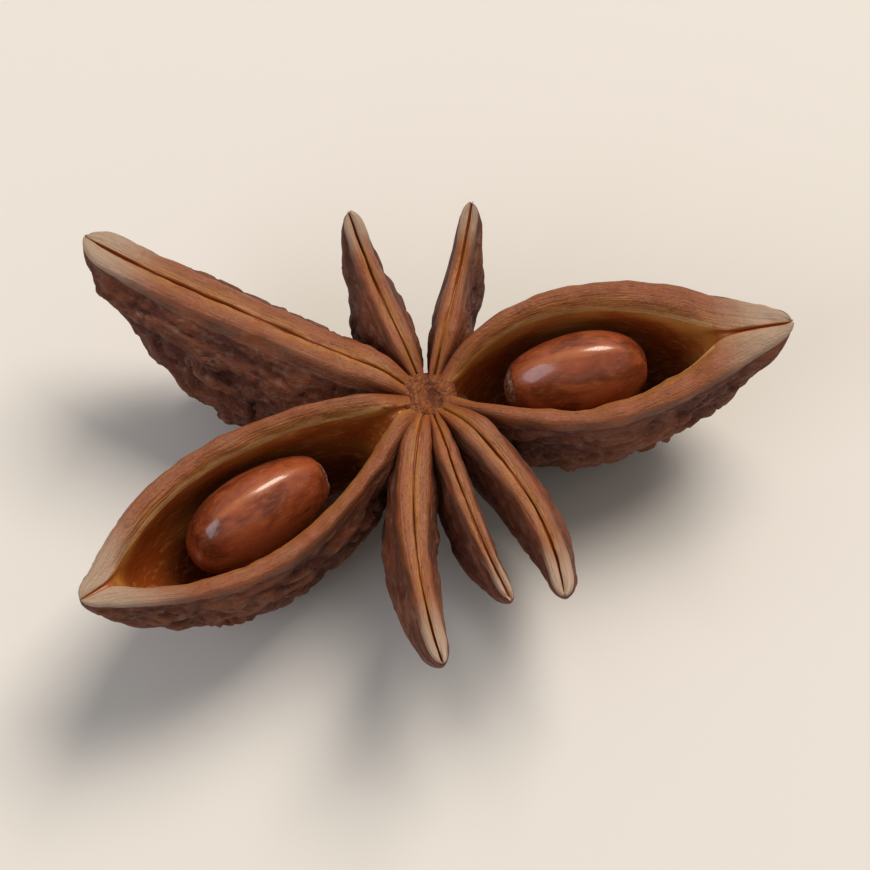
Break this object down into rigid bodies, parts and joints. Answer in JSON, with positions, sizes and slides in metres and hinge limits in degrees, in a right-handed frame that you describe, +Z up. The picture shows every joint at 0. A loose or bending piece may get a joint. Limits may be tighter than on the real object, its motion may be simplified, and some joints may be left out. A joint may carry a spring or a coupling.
{
  "type": "star anise pod",
  "caption": "Dried star-shaped spice pod: uneven woody boat-shaped arms round a short column, some split open with a glossy seed inside.",
  "frame": {"origin": "on the column's axis, at the flat foot of the stalk's stump, on the surface that the pod lies on", "axes": "+Z up, out of the open side of the star; +X along the open arm on the right; +Y towards the two short arms at the back"},
  "size_m": [0.0312, 0.0221, 0.0093],
  "materials": {
    "husk": "dry woody pod wall: dull wrinkled red-brown outside, pale golden lips, smooth golden-brown inside",
    "seed": "hard glossy chestnut-brown seed coat"
  },
  "bodies": {
    "root": {"husk": "husk", "seed_right": "seed", "seed_front_left": "seed"}
  },
  "joints": []
}
